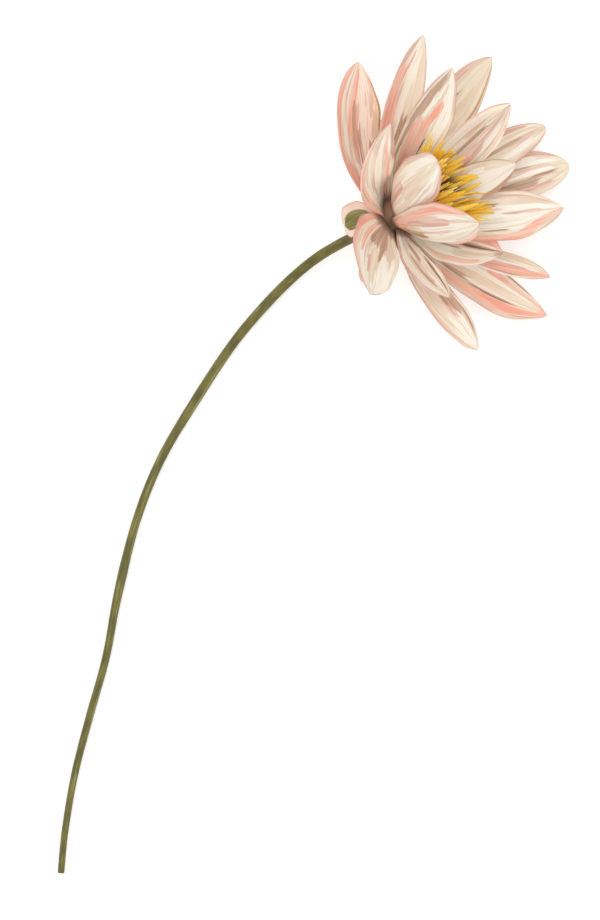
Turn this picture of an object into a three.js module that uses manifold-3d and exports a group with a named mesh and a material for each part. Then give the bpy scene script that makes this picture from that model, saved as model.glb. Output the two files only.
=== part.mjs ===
// A cut water lily lying on its side: one stem that swells into the receptacle, four sepals,
// petals in four rings, a crown of stamens and the pistil that they surround.
// Millimetres, +Z up. The stem and the tips of the lowest petals rest on z = 0.
import * as THREE from "three";
import { mergeVertices } from "three/addons/utils/BufferGeometryUtils.js";
import Module from "manifold-3d";

const wasm = await Module();
wasm.setup();

const rad = THREE.MathUtils.degToRad;

// ---- Driving dimensions ----
const HEAD_AT = new THREE.Vector3(35.5, 107.5, 33); // middle of the receptacle
const HEAD_BEARING = 26; // the flower faces this way in plan, degrees from +X
const HEAD_TILT = 33; // and this far above the surface

// Blades are the sepals and petals.
const BLADE_THICKNESS = 0.8;
const BLADE_COLUMNS = 6; // facets across a blade
const BLADE_ROWS = 10; // facets along it
const ROOT_WIDTH = 6; // of every blade where it leaves the receptacle
const ROLL_DONE_BY = 0.35; // share of its length in which a blade turns about its own midrib
const TIP_HALF_WIDTH = 0.4;
const SPINE_STEPS = 48; // straight steps that make up a blade's curved midrib
const OPENS_EARLY = 0.8; // under 1, a blade leans over sooner along its length
const FLAT_END_CURL = 0.6; // share of its cup that a blade has at its root and tip
const USUAL_WIDEST = 0.55; // share of its length at which a blade is widest
const USUAL_POINT = 0.8; // 1 for a sharp tip, 0.5 for a round one
const TINY = 1e-3;

// The rings of parts round the receptacle, from the stem to the face: where each ring leaves it
// (height along the head's axis and radius there), and its blades, which are named in this order.
// round is a blade's place round the head, 0 level to the left of the face and 90 on the upper
// side. open is how far it leans out from the head's axis at its root and at its tip. cup is the
// half angle that its section curls through, in radians. roll turns it about its midrib, sway
// bends it sideways, widest is where along it it is widest, and lift shifts its root.
const RINGS = {
  sepal: {
    height: -3.6,
    radius: 6.4,
    blades: [
      {
        round: 58, open: [120, 202], length: 16.5, width: 17, cup: 0.7,
        sway: 20, point: 0.6, lift: -0.9,
      },
      { round: 139, open: [118, 130], length: 25, width: 16, cup: 0.5, lift: -0.6 },
      { round: 201, open: [102, 82], length: 46, width: 18, cup: 0.5 },
      { round: 326, open: [102, 66], length: 46, width: 20, cup: 0.5 },
    ],
  },
  outer: {
    height: -1.6,
    radius: 7,
    blades: [
      {
        round: 17, open: [99, 45], length: 68, width: 41, cup: 0.58,
        sway: -34, widest: 0.58, lift: -1,
      },
      {
        round: 179, open: [95.5, 68], length: 65, width: 29, cup: 0.5,
        sway: 5, widest: 0.66, lift: -0.6,
      },
      {
        round: 214, open: [91.5, 60.5], length: 83, width: 28, cup: 0.5,
        roll: 5, sway: 4, widest: 0.57, lift: 0.8,
      },
      { round: 266, open: [72, 42], length: 56, width: 18, cup: 0.5, lift: -0.8 },
      {
        round: 350, open: [74, 36], length: 78, width: 32, cup: 0.6,
        roll: 6, sway: -12, widest: 0.6, lift: 0.3,
      },
    ],
  },
  second: {
    height: 0.6,
    radius: 7.2,
    blades: [
      {
        round: 48, open: [80, 20], length: 58.5, width: 23, cup: 0.85,
        roll: -43, sway: -7, widest: 0.5, rootWidth: 7,
      },
      {
        round: 107, open: [103, 69], length: 57, width: 32, cup: 0.6,
        sway: 24, widest: 0.42, rootWidth: 11, lift: -1,
      },
      {
        round: 164, open: [94, 50], length: 43, width: 16, cup: 0.6,
        roll: 27, sway: -2, lift: 0.9,
      },
      {
        round: 213, open: [77, 40], length: 71, width: 29, cup: 0.5,
        roll: -20, sway: -1, widest: 0.72, lift: 0.4,
      },
      {
        round: 261.5, open: [57, 47], length: 86, width: 23, cup: 0.5,
        roll: -12, sway: -2, widest: 0.75, point: 0.6, lift: -0.6,
      },
      {
        round: 310, open: [72, 44.8], length: 86.5, width: 27.5, cup: 0.44,
        roll: 18, sway: -9, widest: 0.69, lift: -0.4,
      },
    ],
  },
  third: {
    height: 2.8,
    radius: 7,
    blades: [
      {
        round: 359, open: [48, 25], length: 67, width: 32, cup: 0.7,
        roll: -14, sway: -6, lift: 1.1,
      },
      { round: 124, open: [46, 19], length: 62, width: 24, cup: 0.78, roll: -18, sway: 3 },
      {
        round: 206, open: [65, 40], length: 45, width: 32, cup: 0.4,
        roll: 5, sway: 9, widest: 0.43, lift: 0.6,
      },
      {
        round: 276, open: [55, 46.5], length: 81, width: 18, cup: 0.5,
        roll: -22, sway: 1, widest: 0.7, point: 0.65, lift: -1,
      },
      {
        round: 296, open: [45, 30], length: 67, width: 24, cup: 0.5,
        roll: 13, sway: 6, widest: 0.64, lift: 0.4,
      },
    ],
  },
  inner: {
    height: 5,
    radius: 6.2,
    blades: [
      {
        round: 73, open: [47, 12], length: 48.5, width: 25, cup: 0.68,
        roll: 20, sway: -9, widest: 0.52, point: 0.52, rootWidth: 8, lift: 0.3,
      },
      {
        round: 229, open: [52, 38], length: 71, width: 27, cup: 0.4,
        roll: -4, sway: 20, widest: 0.58, lift: -0.7,
      },
      {
        round: 262, open: [34, 41], length: 53, width: 17, cup: 0.5,
        roll: 7, sway: 9, widest: 0.61, lift: 0.9,
      },
      {
        round: 292, open: [33, 36], length: 66, width: 16, cup: 0.6,
        roll: 26, sway: 18, widest: 0.6, lift: -1.2,
      },
    ],
  },
};

// The stem's path behind the head, in plan and height, down to the surface and along it.
const STEM_BACK = [12, 22]; // straight back from the head along its axis
const STEM_FALL = [
  [4, 91.5, 12.6],
  [-8, 82.4, 6.6],
];
const STEM_LIES = [
  [-22, 68.5],
  [-35.1, 52.9],
  [-53.1, 25.9],
  [-68.9, -1.1],
  [-79.7, -28.1],
  [-88.7, -64.1],
  [-93.8, -91.1],
  [-101.3, -118.1],
  [-108.2, -145.1],
  [-112.7, -172.1],
  [-114.3, -189.2],
];
const STEM_RADIUS = { cut: 1.7, head: 2.7 };
const SETTLES_WITHIN = 0.4; // the stem lies flat on the surface wherever it comes this near
const STEM_SIDES = 12;
const STEM_RINGS = 56;

// The receptacle: radius at each height along the head's axis.
const RECEPTACLE = [
  [-12, 2.7],
  [-8.5, 3.4],
  [-5.5, 5],
  [-3, 5.6],
  [-1, 6],
  [2, 6.1],
  [4, 5.6],
  [5.6, 4.8],
  [6.6, 3.6],
];

// Stamens: whorls on a low collar over the receptacle.
const STAMEN_THICKNESS = 0.9;
const STAMEN_WIDTH = 2.3;
const STAMEN_ROOT = 1.3;
const STAMEN_ROWS = 4;
const STAMEN_WIDEST = 0.66;
const STAMEN_CUP = 0.01;
const UPPER_STAMENS_UPRIGHT = 0.15; // share of their lean that those on the upper side lack
const WHORLS = [
  { count: 24, radius: 6, height: 8.2, open: [22, 27], length: 36 },
  { count: 20, radius: 5.6, height: 8.5, open: [15, 20], length: 34 },
  { count: 16, radius: 5.2, height: 8.8, open: [10, 10], length: 29 },
  { count: 12, radius: 5, height: 8.8, open: [22, 8], length: 17 },
];
// The crown is lopsided: lengths grow and shrink by these shares round it.
const LONGER_TO_ONE_SIDE = 0.08;
const SHORTER_BELOW = 0.14;
const STAMEN_SEED = 20;
// How far stamens differ from one another either way: degrees, then shares of spacing and length.
const STAMEN_VARIES = { root: 3, tip: 9, sway: 22, place: 0.15, length: 0.1 };
const COLLAR_SIDES = 24;
const COLLAR = [
  [4.3, 7.2],
  [6.1, 7.2],
  [6.8, 8.4],
  [6.6, 9.6],
  [4.3, 9.6],
];

// Pistil: a cup-shaped ovary with a disc of raised rays on top.
const OVARY = [
  [0, 7],
  [3.6, 7],
  [3.7, 9],
  [4, 13],
  [4.5, 16],
  [4.8, 17.4],
  [4.4, 18.4],
  [2.8, 17.6],
  [0, 17],
];
const STIGMA_RAYS = 14;
const RAY_RISE = 0.9;
const SECTORS_PER_RAY = 2;
const OVARY_SHOULDER = 16.5; // the rays lie above this height
const RAYS_START = 1; // and outside this radius

// ---- Materials ----
const matt = (color, roughness) => new THREE.MeshStandardMaterial({ color, roughness, metalness: 0 });
const petalMaterial = matt(0xead8c4, 0.6);
const sepalMaterial = matt(0x8a8a4e, 0.6);
const stemMaterial = matt(0x6f693a, 0.65);
const stamenMaterial = matt(0xedb72e, 0.7);
const pistilMaterial = matt(0x6b4a1e, 0.75);

// ---- Frames ----
// The head's own frame: +Z out of the flower's face, +X level, +Y on its upper side.
const faceWay = new THREE.Vector3(
  Math.cos(rad(HEAD_BEARING)) * Math.cos(rad(HEAD_TILT)),
  Math.sin(rad(HEAD_BEARING)) * Math.cos(rad(HEAD_TILT)),
  Math.sin(rad(HEAD_TILT)),
);
const levelWay = new THREE.Vector3(-Math.sin(rad(HEAD_BEARING)), Math.cos(rad(HEAD_BEARING)), 0);
const upperWay = new THREE.Vector3().crossVectors(faceWay, levelWay);

const head = new THREE.Group();
head.position.copy(HEAD_AT);
head.quaternion.setFromRotationMatrix(new THREE.Matrix4().makeBasis(levelWay, upperWay, faceWay));

// ---- Joining solids ----
function solidFrom(geometry) {
  const bare = geometry.clone();
  bare.deleteAttribute("normal");
  bare.deleteAttribute("uv");
  const merged = mergeVertices(bare, TINY);
  return new wasm.Manifold(
    new wasm.Mesh({
      numProp: 3,
      vertProperties: merged.attributes.position.array,
      triVerts: new Uint32Array(merged.index.array),
    }),
  );
}

function fuse(geometries) {
  const joined = geometries.map(solidFrom).reduce((whole, piece) => whole.add(piece));
  const mesh = joined.getMesh();
  const geometry = new THREE.BufferGeometry();
  geometry.setAttribute("position", new THREE.BufferAttribute(mesh.vertProperties, 3));
  geometry.setIndex(new THREE.BufferAttribute(mesh.triVerts, 1));
  return geometry;
}

// ---- Blades ----
// Half the blade's width at t along it, as a share of its widest: a narrow claw at the root,
// widest past the middle, then drawn in to the tip.
function halfWidth(t, claw, widest, point) {
  if (t < widest) {
    const grown = Math.sin((Math.PI / 2) * (t / widest));
    return claw + (1 - claw) * grown;
  }
  const out = (t - widest) / (1 - widest);
  return Math.pow(1 - out * out, point);
}

// The middle surface of a blade in its own frame: +X away from the head's axis, +Z along it.
// Returns the point at q across (-1 to 1) and t along (0 to 1).
function bladeSurface(blade) {
  const { open, length, width, cup, sway = 0, roll = 0 } = blade;
  const { widest = USUAL_WIDEST, point = USUAL_POINT, rootWidth = ROOT_WIDTH } = blade;
  const claw = rootWidth / width;
  const spine = [new THREE.Vector3(0, 0, 0)];
  const lean = (t) => rad(open[0] + (open[1] - open[0]) * Math.pow(t, OPENS_EARLY));
  const turn = (t) => rad(sway) * t;
  const along = (t) =>
    new THREE.Vector3(
      Math.sin(lean(t)) * Math.cos(turn(t)),
      Math.sin(lean(t)) * Math.sin(turn(t)),
      Math.cos(lean(t)),
    );
  for (let i = 0; i < SPINE_STEPS; i++) {
    const step = along((i + 0.5) / SPINE_STEPS).multiplyScalar(length / SPINE_STEPS);
    spine.push(spine[i].clone().add(step));
  }
  return (q, t) => {
    const at = t * SPINE_STEPS;
    const i = Math.min(Math.floor(at), SPINE_STEPS - 1);
    const centre = spine[i].clone().lerp(spine[i + 1], at - i);
    const forward = along(t);
    const side = new THREE.Vector3(-Math.sin(turn(t)), Math.cos(turn(t)), 0);
    side.applyAxisAngle(forward, rad(roll) * THREE.MathUtils.smoothstep(t, 0, ROLL_DONE_BY));
    const inward = new THREE.Vector3().crossVectors(forward, side);
    const half = Math.max(0.5 * width * halfWidth(t, claw, widest, point), TIP_HALF_WIDTH);
    const fullness = FLAT_END_CURL + (1 - FLAT_END_CURL) * Math.sin(Math.PI * t);
    const curl = Math.max(cup * fullness, TINY);
    return centre
      .addScaledVector(side, (half * Math.sin(curl * q)) / curl)
      .addScaledVector(inward, (half * (1 - Math.cos(curl * q))) / curl);
  };
}

// A closed blade of even thickness round a middle surface, both faces split into triangles alike.
function bladeGeometry(surface, thickness, columns, rows) {
  const positions = [];
  const across = (i) => (2 * i) / columns - 1;
  const along = (j) => j / rows;
  for (const face of [1, -1]) {
    for (let j = 0; j <= rows; j++) {
      for (let i = 0; i <= columns; i++) {
        const q = across(i);
        const t = along(j);
        const dq = surface(Math.min(q + TINY, 1), t).sub(surface(Math.max(q - TINY, -1), t));
        const dt = surface(q, Math.min(t + TINY, 1)).sub(surface(q, Math.max(t - TINY, 0)));
        const normal = dt.cross(dq).normalize();
        const p = surface(q, t).addScaledVector(normal, (face * thickness) / 2);
        positions.push(p.x, p.y, p.z);
      }
    }
  }
  const index = [];
  const layer = (columns + 1) * (rows + 1);
  const inner = (i, j) => j * (columns + 1) + i;
  const outer = (i, j) => layer + inner(i, j);
  const quad = (a, b, c, d) => index.push(a, b, c, a, c, d);
  for (let j = 0; j < rows; j++) {
    for (let i = 0; i < columns; i++) {
      index.push(inner(i, j), inner(i + 1, j + 1), inner(i + 1, j));
      index.push(inner(i, j), inner(i, j + 1), inner(i + 1, j + 1));
      quad(outer(i, j), outer(i + 1, j), outer(i + 1, j + 1), outer(i, j + 1));
    }
    quad(inner(0, j), outer(0, j), outer(0, j + 1), inner(0, j + 1));
    quad(outer(columns, j), inner(columns, j), inner(columns, j + 1), outer(columns, j + 1));
  }
  for (let i = 0; i < columns; i++) {
    quad(inner(i, 0), inner(i + 1, 0), outer(i + 1, 0), outer(i, 0));
    quad(inner(i, rows), outer(i, rows), outer(i + 1, rows), inner(i + 1, rows));
  }
  const geometry = new THREE.BufferGeometry();
  geometry.setAttribute("position", new THREE.Float32BufferAttribute(positions, 3));
  geometry.setIndex(index);
  return geometry;
}

function addRing(ringName, { height, radius, blades }) {
  const isSepal = ringName === "sepal";
  blades.forEach((blade, i) => {
    const geometry = bladeGeometry(bladeSurface(blade), BLADE_THICKNESS, BLADE_COLUMNS, BLADE_ROWS);
    geometry.translate(radius, 0, height + (blade.lift ?? 0));
    const mesh = new THREE.Mesh(geometry, isSepal ? sepalMaterial : petalMaterial);
    mesh.name = isSepal ? `sepal_${i + 1}` : `petal_${ringName}_${i + 1}`;
    mesh.rotation.z = rad(blade.round);
    head.add(mesh);
  });
}

// ---- Stem and receptacle ----
// One body: a cylinder bent along the stem's path, whose last stretch swells into the receptacle.
// Its rings keep one facet facing straight down, so that it lies on a narrow flat.
function stemGeometry() {
  const flatShare = Math.cos(Math.PI / STEM_SIDES); // distance to a facet for a radius of 1
  const alongAxis = (height) => HEAD_AT.clone().addScaledVector(faceWay, height);
  const top = RECEPTACLE[RECEPTACLE.length - 1][0];
  const lyingRadius = (share) => THREE.MathUtils.lerp(STEM_RADIUS.head, STEM_RADIUS.cut, share);
  const lies = STEM_LIES.map(([x, y], i) => {
    const z = lyingRadius(i / (STEM_LIES.length - 1)) * flatShare;
    return new THREE.Vector3(x, y, z);
  });
  const path = new THREE.CatmullRomCurve3(
    [
      ...STEM_BACK.map((back) => alongAxis(-back)),
      ...STEM_FALL.map((point) => new THREE.Vector3(...point)),
      ...lies,
    ],
    false,
    "centripetal",
  );
  const swelling = RECEPTACLE.length - 1;
  const facetDown = Math.PI / STEM_SIDES;
  const bent = new THREE.CylinderGeometry(1, 1, 1, STEM_SIDES, STEM_RINGS, false, facetDown);
  const position = bent.attributes.position;
  const side = new THREE.Vector3();
  const over = new THREE.Vector3();
  for (let i = 0; i < position.count; i++) {
    const ring = Math.round((0.5 - position.getY(i)) * STEM_RINGS);
    let centre;
    let radius;
    let tangent;
    if (ring <= swelling) {
      const [height, r] = RECEPTACLE[swelling - ring];
      centre = alongAxis(height);
      radius = r;
      tangent = faceWay.clone().negate();
    } else {
      const u = (ring - swelling) / (STEM_RINGS - swelling);
      centre = path.getPointAt(u);
      radius = lyingRadius(u);
      tangent = path.getTangentAt(u);
    }
    const lying = radius * flatShare;
    if (centre.z < lying + SETTLES_WITHIN) {
      centre.z = lying;
      tangent.setZ(0).normalize();
    }
    side.set(-tangent.y, tangent.x, 0).normalize();
    over.crossVectors(tangent, side);
    centre.addScaledVector(side, position.getX(i) * radius);
    centre.addScaledVector(over, position.getZ(i) * radius);
    position.setXYZ(i, centre.x, centre.y, centre.z);
  }
  return bent;
}

function addStem() {
  const mesh = new THREE.Mesh(stemGeometry(), stemMaterial);
  mesh.name = "stem";
  lily.add(mesh);
}

// ---- Stamens and pistil ----
// A profile of radius and height turned round the head's axis.
function turned(profile, sides) {
  const points = profile.map(([radius, height]) => new THREE.Vector2(radius, height));
  const geometry = new THREE.LatheGeometry(points, sides);
  geometry.rotateX(Math.PI / 2);
  return geometry;
}

// Small even differences from one stamen to the next, the same every time.
function seeded(seed) {
  let state = seed;
  return () => {
    state = (state * 16807) % 2147483647;
    return state / 2147483647;
  };
}

function addStamens() {
  const random = seeded(STAMEN_SEED);
  const spread = (amount) => amount * (2 * random() - 1);
  const collar = turned([...COLLAR, COLLAR[0]], COLLAR_SIDES);
  const pieces = [collar];
  for (const whorl of WHORLS) {
    for (let i = 0; i < whorl.count; i++) {
      const round = ((i + spread(STAMEN_VARIES.place)) / whorl.count) * 2 * Math.PI;
      const upright = 1 - UPPER_STAMENS_UPRIGHT * Math.max(Math.sin(round), 0);
      const rootLean = (whorl.open[0] + spread(STAMEN_VARIES.root)) * upright;
      const tipLean = (whorl.open[1] + spread(STAMEN_VARIES.tip)) * upright;
      const toOneSide = LONGER_TO_ONE_SIDE * Math.cos(round);
      const below = SHORTER_BELOW * Math.max(-Math.sin(round), 0);
      const surface = bladeSurface({
        open: [rootLean, tipLean],
        length: whorl.length * (1 - toOneSide - below + spread(STAMEN_VARIES.length)),
        width: STAMEN_WIDTH,
        rootWidth: STAMEN_ROOT,
        cup: STAMEN_CUP,
        sway: spread(STAMEN_VARIES.sway),
        widest: STAMEN_WIDEST,
      });
      const stamen = bladeGeometry(surface, STAMEN_THICKNESS, 1, STAMEN_ROWS);
      stamen.translate(whorl.radius, 0, whorl.height);
      stamen.rotateZ(round);
      pieces.push(stamen);
    }
  }
  const mesh = new THREE.Mesh(fuse(pieces), stamenMaterial);
  mesh.name = "stamens";
  head.add(mesh);
}

function addPistil() {
  const body = turned(OVARY, STIGMA_RAYS * SECTORS_PER_RAY);
  const position = body.attributes.position;
  const rim = Math.max(...OVARY.map(([, z]) => z));
  for (let i = 0; i < position.count; i++) {
    const x = position.getX(i);
    const y = position.getY(i);
    const z = position.getZ(i);
    const onRays = z > OVARY_SHOULDER && Math.hypot(x, y) > RAYS_START;
    if (onRays) {
      const ray = Math.cos(STIGMA_RAYS * Math.atan2(y, x));
      position.setZ(i, z + Math.max(ray, 0) * RAY_RISE * (z / rim));
    }
  }
  const mesh = new THREE.Mesh(body, pistilMaterial);
  mesh.name = "pistil";
  head.add(mesh);
}

const lily = new THREE.Group();
lily.add(head);
addStem();
Object.entries(RINGS).forEach(([ringName, ring]) => addRing(ringName, ring));
addStamens();
addPistil();
export default lily;
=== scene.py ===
# %% [markdown]
# # A water lily, cut and laid down
#
# The flower lies on its side on a pale table. Its curved stem rests along the table and lifts near
# the head, and the head faces to one side and a little upwards. The solid model that comes first is
# the frame: it says where every blade is and how large it is. Here each of its pieces is made again
# as a finer, softer one that keeps the same form, and is given its colour.

# %% The frame
import math
import random

import bmesh
import bpy
from mathutils import Matrix, Vector, noise


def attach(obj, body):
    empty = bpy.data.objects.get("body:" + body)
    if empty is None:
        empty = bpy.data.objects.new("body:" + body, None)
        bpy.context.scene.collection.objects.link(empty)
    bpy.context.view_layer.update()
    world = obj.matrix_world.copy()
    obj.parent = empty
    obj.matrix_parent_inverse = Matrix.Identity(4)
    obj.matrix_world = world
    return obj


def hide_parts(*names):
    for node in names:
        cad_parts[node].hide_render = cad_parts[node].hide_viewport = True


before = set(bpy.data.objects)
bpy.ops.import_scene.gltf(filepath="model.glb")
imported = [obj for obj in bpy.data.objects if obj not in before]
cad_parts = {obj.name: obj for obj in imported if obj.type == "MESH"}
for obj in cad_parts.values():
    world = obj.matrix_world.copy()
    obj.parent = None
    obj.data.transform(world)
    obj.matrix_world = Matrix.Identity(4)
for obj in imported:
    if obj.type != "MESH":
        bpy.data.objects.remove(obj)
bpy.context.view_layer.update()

MM = 0.001

# %% [markdown]
# ## The camera
#
# A flower that has been laid down shows itself whole from straight above, so the camera looks
# along -Z with the picture's top towards +Y. A long lens from 1.5 m keeps the petals that stand up
# from growing too large against the stem.

# %% The camera
CAMERA_AT = (-0.0054, -0.0011, 1.5)
PIXELS_PER_RADIAN = 3288.9
PICTURE_HEIGHT = 920
SENSOR = 36

camera_data = bpy.data.cameras.new("camera")
camera_data.sensor_width = SENSOR
camera_data.lens = PIXELS_PER_RADIAN * SENSOR / PICTURE_HEIGHT
camera = bpy.data.objects.new("camera", camera_data)
camera.location = CAMERA_AT
bpy.context.scene.collection.objects.link(camera)
bpy.context.scene.camera = camera
print("lens", round(camera_data.lens, 1), "mm")

# %% [markdown] ## The table  A cut flower lies down, so it needs a table, and a plain one says
# nothing of its own. This one is a single large white face, so that no edge of it shows, with a
# faint glow that keeps the shadows on it pale.

# %% The table
TABLE_SIZE = 12.0
TABLE_WHITE = (0.9, 0.9, 0.9)
WHITE_LIGHT = (1, 1, 1, 1)
TABLE_ROUGHNESS = 0.9
TABLE_GLOW = 0.22


def plain_material(name, colour, roughness):
    material = bpy.data.materials.new(name)
    material.use_nodes = True
    shader = material.node_tree.nodes["Principled BSDF"]
    shader.inputs["Base Color"].default_value = (*colour, 1)
    shader.inputs["Roughness"].default_value = roughness
    return material


table_bm = bmesh.new()
bmesh.ops.create_grid(table_bm, x_segments=1, y_segments=1, size=TABLE_SIZE / 2)
table_mesh = bpy.data.meshes.new("table")
table_bm.to_mesh(table_mesh)
table_bm.free()
table = bpy.data.objects.new("table", table_mesh)
table_white = plain_material("table_white", TABLE_WHITE, TABLE_ROUGHNESS)
table_shader = table_white.node_tree.nodes["Principled BSDF"]
table_shader.inputs["Emission Color"].default_value = WHITE_LIGHT
table_shader.inputs["Emission Strength"].default_value = TABLE_GLOW
table_mesh.materials.append(table_white)
bpy.context.scene.collection.objects.link(table)
print("table:", TABLE_SIZE, "m across")

# %% [markdown]
# ## The light
#
# A high-key set: a bright even sky all round, one large soft light above the flower and a weaker
# one low on the other side. Large lights have soft shadows, and the sky fills them, so that the
# petals' own colours carry the picture. The Standard view transform keeps whites white.

# %% The light
SKY_STRENGTH = 0.86
KEY_AT = Vector((-0.3, 0.25, 1.85))
KEY_SIZE = 1.5
KEY_POWER = 11
FILL_AT = Vector((1.1, -0.7, 1.2))
FILL_SIZE = 1.4
FILL_POWER = 3


def soft_light(name, at, size, power):
    light = bpy.data.lights.new(name, "AREA")
    light.shape = "DISK"
    light.size = size
    light.energy = power
    lamp = bpy.data.objects.new(name, light)
    lamp.location = at
    lamp.rotation_mode = "QUATERNION"
    lamp.rotation_quaternion = (Vector((0, 0, 0)) - at).to_track_quat("-Z", "Y")
    bpy.context.scene.collection.objects.link(lamp)


world = bpy.data.worlds.new("studio")
world.use_nodes = True
sky = world.node_tree.nodes["Background"]
sky.inputs["Color"].default_value = WHITE_LIGHT
sky.inputs["Strength"].default_value = SKY_STRENGTH
bpy.context.scene.world = world
soft_light("key", KEY_AT, KEY_SIZE, KEY_POWER)
soft_light("fill", FILL_AT, FILL_SIZE, FILL_POWER)
bpy.context.scene.view_settings.view_transform = "Standard"
print("lights:", [light.name for light in bpy.data.lights])

# %% [markdown]
# ## The head's own axes
#
# Petals, stamens and pistil all stand round one axis, so they are easiest to make about an upright
# axis at the origin, in millimetres. One matrix then turns, shrinks and carries them to the head:
# its third column is the way that the flower faces.

# %% The head's axes
HEAD_AT = Vector((35.5, 107.5, 33))
HEAD_BEARING = math.radians(26)
HEAD_TILT = math.radians(33)

face_way = Vector((
    math.cos(HEAD_BEARING) * math.cos(HEAD_TILT),
    math.sin(HEAD_BEARING) * math.cos(HEAD_TILT),
    math.sin(HEAD_TILT),
))
level_way = Vector((-math.sin(HEAD_BEARING), math.cos(HEAD_BEARING), 0))
upper_way = face_way.cross(level_way)
TO_METRES = Matrix.Scale(MM, 4)
HEAD_TURN = Matrix((level_way, upper_way, face_way)).transposed().to_4x4()
HEAD = TO_METRES @ Matrix.Translation(HEAD_AT) @ HEAD_TURN
print("the flower faces", [round(x, 3) for x in face_way])

# %% [markdown]
# ## The blades
#
# Sepals and petals are all blades: a narrow root, a widest place past the middle, and a drawn-in
# tip. A blade follows a curved midrib that leans further out or further in along its length, and
# its section is an arc, so that it cups. Each is told by where it stands round the head and by how
# far it leans, not by points, so the same few numbers can be read and changed by hand.
#
# round is the place round the head, 0 level to the left of the face and 90 on the upper side. open
# is the lean from the head's axis at the root and tip. cup is the arc's half angle, roll turns the
# blade about its midrib, sway bends it sideways, and lift shifts its root along the head's axis.
# widest is where along it is widest, and a lower point makes a blunter tip.

# %% The rings of blades
RINGS = {
    "sepal": dict(height=-3.6, radius=6.4, blades=[
        dict(round=58, open=(120, 202), length=16.5, width=17, cup=0.7, sway=20, point=0.6,
             lift=-0.9),
        dict(round=139, open=(118, 130), length=25, width=16, cup=0.5, lift=-0.6),
        dict(round=201, open=(102, 82), length=46, width=18, cup=0.5),
        dict(round=326, open=(102, 66), length=46, width=20, cup=0.5),
    ]),
    "outer": dict(height=-1.6, radius=7, blades=[
        dict(round=17, open=(99, 45), length=68, width=41, cup=0.58, sway=-34, widest=0.58,
             lift=-1),
        dict(round=179, open=(95.5, 68), length=65, width=29, cup=0.5, sway=5, widest=0.66,
             lift=-0.6),
        dict(round=214, open=(91.5, 60.5), length=83, width=28, cup=0.5, roll=5, sway=4,
             widest=0.57, lift=0.8),
        dict(round=266, open=(72, 42), length=56, width=18, cup=0.5, lift=-0.8),
        dict(round=350, open=(74, 36), length=78, width=32, cup=0.6, roll=6, sway=-12, widest=0.6,
             lift=0.3),
    ]),
    "second": dict(height=0.6, radius=7.2, blades=[
        dict(round=48, open=(80, 20), length=58.5, width=23, cup=0.85, roll=-43, sway=-7,
             widest=0.5, root_width=7),
        dict(round=107, open=(103, 69), length=57, width=32, cup=0.6, sway=24, widest=0.42,
             root_width=11, lift=-1),
        dict(round=164, open=(94, 50), length=43, width=16, cup=0.6, roll=27, sway=-2, lift=0.9),
        dict(round=213, open=(77, 40), length=71, width=29, cup=0.5, roll=-20, sway=-1, widest=0.72,
             lift=0.4),
        dict(round=261.5, open=(57, 47), length=86, width=23, cup=0.5, roll=-12, sway=-2,
             widest=0.75, point=0.6, lift=-0.6),
        dict(round=310, open=(72, 44.8), length=86.5, width=27.5, cup=0.44, roll=18, sway=-9,
             widest=0.69, lift=-0.4),
    ]),
    "third": dict(height=2.8, radius=7, blades=[
        dict(round=359, open=(48, 25), length=67, width=32, cup=0.7, roll=-14, sway=-6, lift=1.1),
        dict(round=124, open=(46, 19), length=62, width=24, cup=0.78, roll=-18, sway=3),
        dict(round=206, open=(65, 40), length=45, width=32, cup=0.4, roll=5, sway=9, widest=0.43,
             lift=0.6),
        dict(round=276, open=(55, 46.5), length=81, width=18, cup=0.5, roll=-22, sway=1, widest=0.7,
             point=0.65, lift=-1),
        dict(round=296, open=(45, 30), length=67, width=24, cup=0.5, roll=13, sway=6, widest=0.64,
             lift=0.4),
    ]),
    "inner": dict(height=5, radius=6.2, blades=[
        dict(round=73, open=(47, 12), length=48.5, width=25, cup=0.68, roll=20, sway=-9,
             widest=0.52, point=0.52, root_width=8, lift=0.3),
        dict(round=229, open=(52, 38), length=71, width=27, cup=0.4, roll=-4, sway=20, widest=0.58,
             lift=-0.7),
        dict(round=262, open=(34, 41), length=53, width=17, cup=0.5, roll=7, sway=9, widest=0.61,
             lift=0.9),
        dict(round=292, open=(33, 36), length=66, width=16, cup=0.6, roll=26, sway=18, widest=0.6,
             lift=-1.2),
    ]),
}
print("blades:", sum(len(ring["blades"]) for ring in RINGS.values()))

# %% [markdown]
# ## A blade's outline
#
# Most petals widen from the root in a quarter of a sine wave and then draw in along a curve like
# an ellipse. A power below 1 on that curve gives a blunt tip, and a higher one a more pointed one.
# The soft step is the other small tool that nearly every later cell uses.

# %% A blade's outline
def smooth(x, low, high):
    """0 below low, 1 above high, and a soft S between them."""
    share = min(max((x - low) / (high - low), 0), 1)
    return share * share * (3 - 2 * share)


def half_width(t, claw, widest, point):
    """The half width at t along, as a share of the widest, claw being the share at the root."""
    if t < widest:
        return claw + (1 - claw) * math.sin(math.pi / 2 * t / widest)
    out = (t - widest) / (1 - widest)
    return max(1 - out * out, 0) ** point


print("a blade's half widths:", [round(half_width(t / 4, 0.2, 0.55, 0.8), 2) for t in range(5)])

# %% [markdown]
# ## One cross row of a blade
#
# At each place along the midrib a blade has a centre, a way forward, a way to its side and a way
# inward, to the head's axis. Working these out once a row keeps the making of thousands of points
# quick, and gives the surface's normal for nothing.

# %% A row of a blade
ROOT_WIDTH = 6
ROLL_DONE_BY = 0.35
TIP_HALF_WIDTH = 0.25
SPINE_STEPS = 48
OPENS_EARLY = 0.8
FLAT_END_CURL = 0.6
USUAL_WIDEST = 0.55
USUAL_POINT = 0.8
LEAST_CURL = 0.001


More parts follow.
